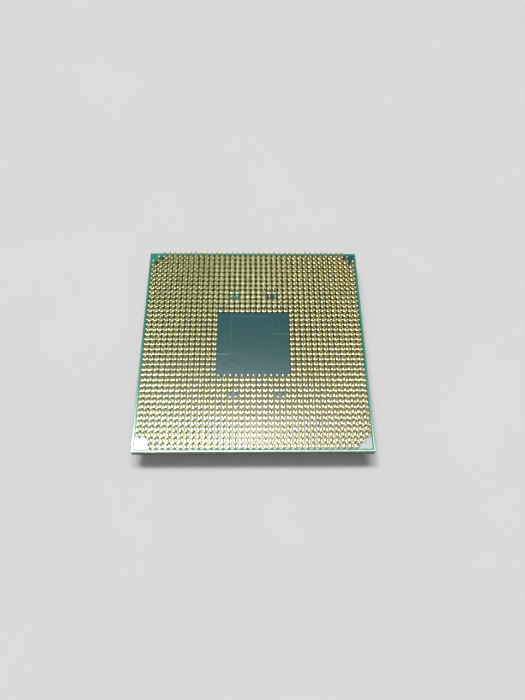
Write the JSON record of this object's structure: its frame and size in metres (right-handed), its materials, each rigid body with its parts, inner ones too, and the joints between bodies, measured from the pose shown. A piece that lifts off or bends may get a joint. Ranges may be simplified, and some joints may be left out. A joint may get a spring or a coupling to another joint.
{
  "type": "cpu processor",
  "caption": "Square desktop processor in a pin grid package: gold pins on a green laminated board, with a metal lid over the die.",
  "frame": {"origin": "centre of the lid's outer contact face, which the processor lies on", "axes": "+Z from the lid towards the pin tips, +X along the front edge, +Y from front to back; pin one's corner is at -X -Y"},
  "size_m": [0.04, 0.04, 0.0063],
  "materials": {
    "nickel_lid": "nickel plate on copper, satin",
    "black_silicone": "matte silicone adhesive",
    "indium_solder": "dull soft metal",
    "silicon_die": "polished silicon",
    "epoxy_underfill": "glossy dark resin",
    "green_solder_mask": "glossy teal green lacquer",
    "gold_plate": "bright gold plating",
    "buildup_film": "resin film, cut edge",
    "glass_laminate": "glass and epoxy laminate, cut edge",
    "copper": "etched copper foil",
    "capacitor_ceramic": "fired ceramic with tinned ends"
  },
  "bodies": {
    "root": {"heat_spreader": "nickel_lid", "lid_sealant": "black_silicone", "thermal_solder": "indium_solder", "cpu_die": "silicon_die", "die_underfill": "epoxy_underfill", "solder_mask_lid_side": "green_solder_mask", "pin_one_marker": "gold_plate", "buildup_layers_lid_side": "buildup_film", "substrate_core": "glass_laminate", "buildup_layers_pin_side": "buildup_film", "copper_plane_back": "copper", "copper_plane_front": "copper", "solder_mask_pin_side": "green_solder_mask", "pin_bank_front_left": "gold_plate", "pin_bank_front": "gold_plate", "pin_bank_front_right": "gold_plate", "pin_bank_left": "gold_plate", "pin_bank_right": "gold_plate", "pin_bank_back_left": "gold_plate", "pin_bank_back": "gold_plate", "pin_bank_back_right": "gold_plate", "capacitor_left_1": "capacitor_ceramic", "capacitor_left_2": "capacitor_ceramic", "capacitor_left_3": "capacitor_ceramic", "capacitor_left_4": "capacitor_ceramic", "capacitor_left_5": "capacitor_ceramic", "capacitor_left_6": "capacitor_ceramic", "capacitor_left_7": "capacitor_ceramic", "capacitor_left_8": "capacitor_ceramic", "capacitor_left_9": "capacitor_ceramic", "capacitor_left_10": "capacitor_ceramic", "capacitor_right_1": "capacitor_ceramic", "capacitor_right_2": "capacitor_ceramic", "capacitor_right_3": "capacitor_ceramic", "capacitor_right_4": "capacitor_ceramic", "capacitor_right_5": "capacitor_ceramic", "capacitor_right_6": "capacitor_ceramic", "capacitor_right_7": "capacitor_ceramic", "capacitor_right_8": "capacitor_ceramic", "capacitor_right_9": "capacitor_ceramic", "capacitor_right_10": "capacitor_ceramic"}
  },
  "joints": []
}
